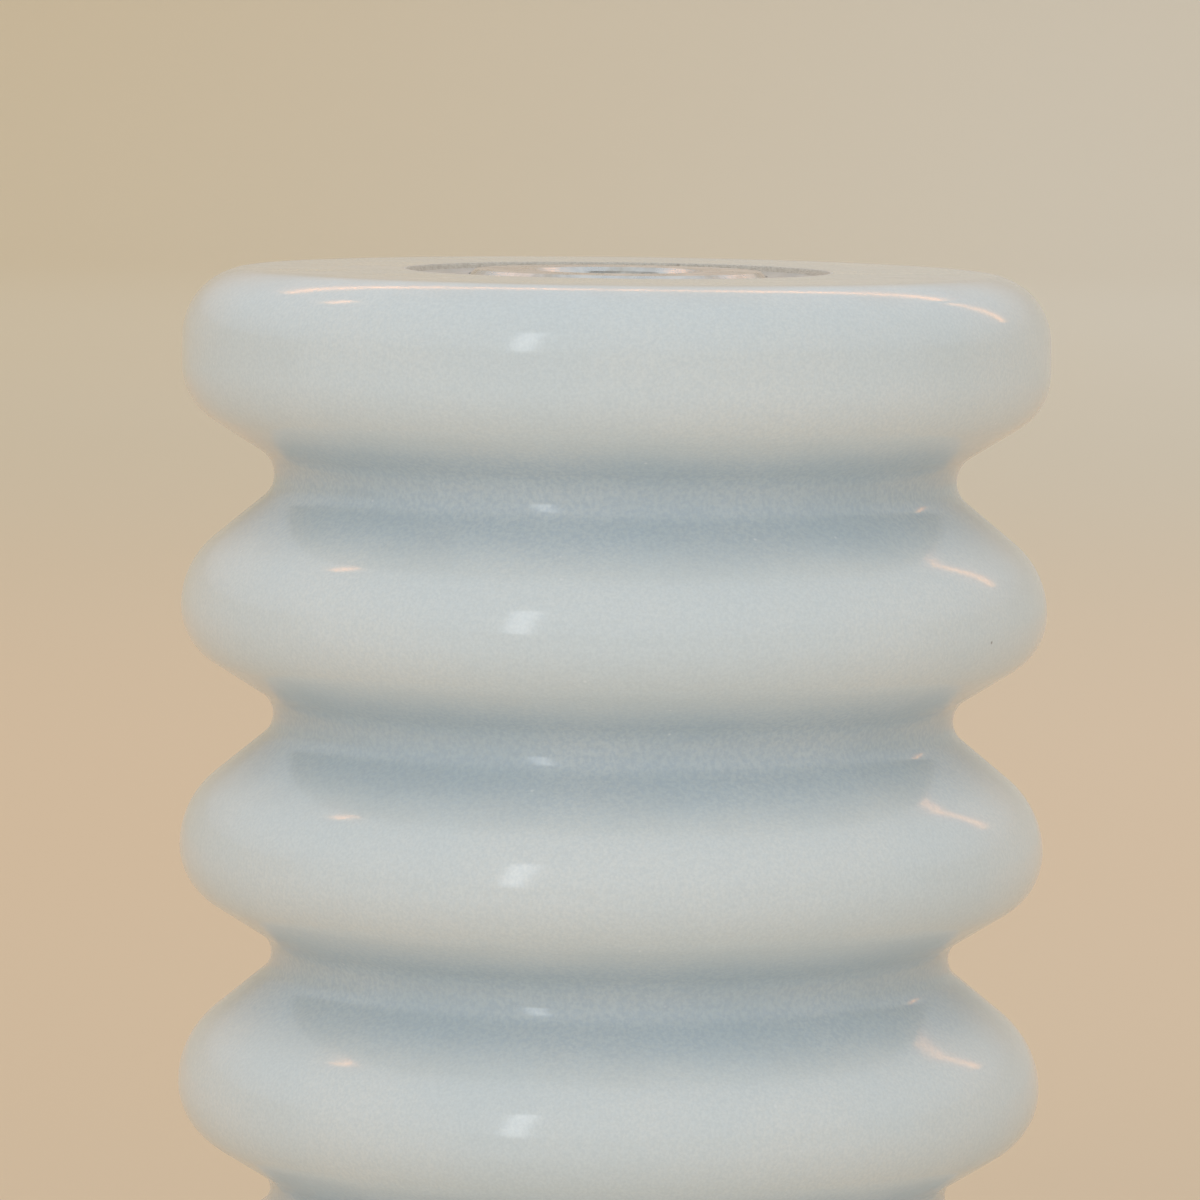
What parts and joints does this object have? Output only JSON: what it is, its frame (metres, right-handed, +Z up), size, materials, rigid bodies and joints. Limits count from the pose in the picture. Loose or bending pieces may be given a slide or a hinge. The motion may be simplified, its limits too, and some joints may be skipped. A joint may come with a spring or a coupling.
{
  "type": "porcelain insulator",
  "caption": "Corrugated glazed porcelain post insulator with a tapped metal fitting cemented flush into each end, standing on a flat foot.",
  "frame": {"origin": "centre of the foot plane, on the axis", "axes": "+Z up the axis from the foot to the head; the body is round about Z"},
  "size_m": [0.064, 0.064, 0.095],
  "materials": {
    "glazed_porcelain": "glossy glaze, pale blue grey",
    "zinc_plated_steel": "turned and zinc plated",
    "bitumen": "brushed-on bitumen",
    "cement": "set Portland cement",
    "porcelain_grit": "fused grit",
    "cork": "pressed cork",
    "sealant": "smooth pale grey sealing compound"
  },
  "bodies": {
    "root": {"porcelain_body": "glazed_porcelain", "head_fitting": "zinc_plated_steel", "foot_fitting": "zinc_plated_steel", "head_coat": "bitumen", "foot_coat": "bitumen", "head_cement": "cement", "foot_cement": "cement", "head_grit": "porcelain_grit", "foot_grit": "porcelain_grit", "head_cushion": "cork", "foot_cushion": "cork", "head_seal": "sealant", "foot_seal": "sealant"}
  },
  "joints": []
}
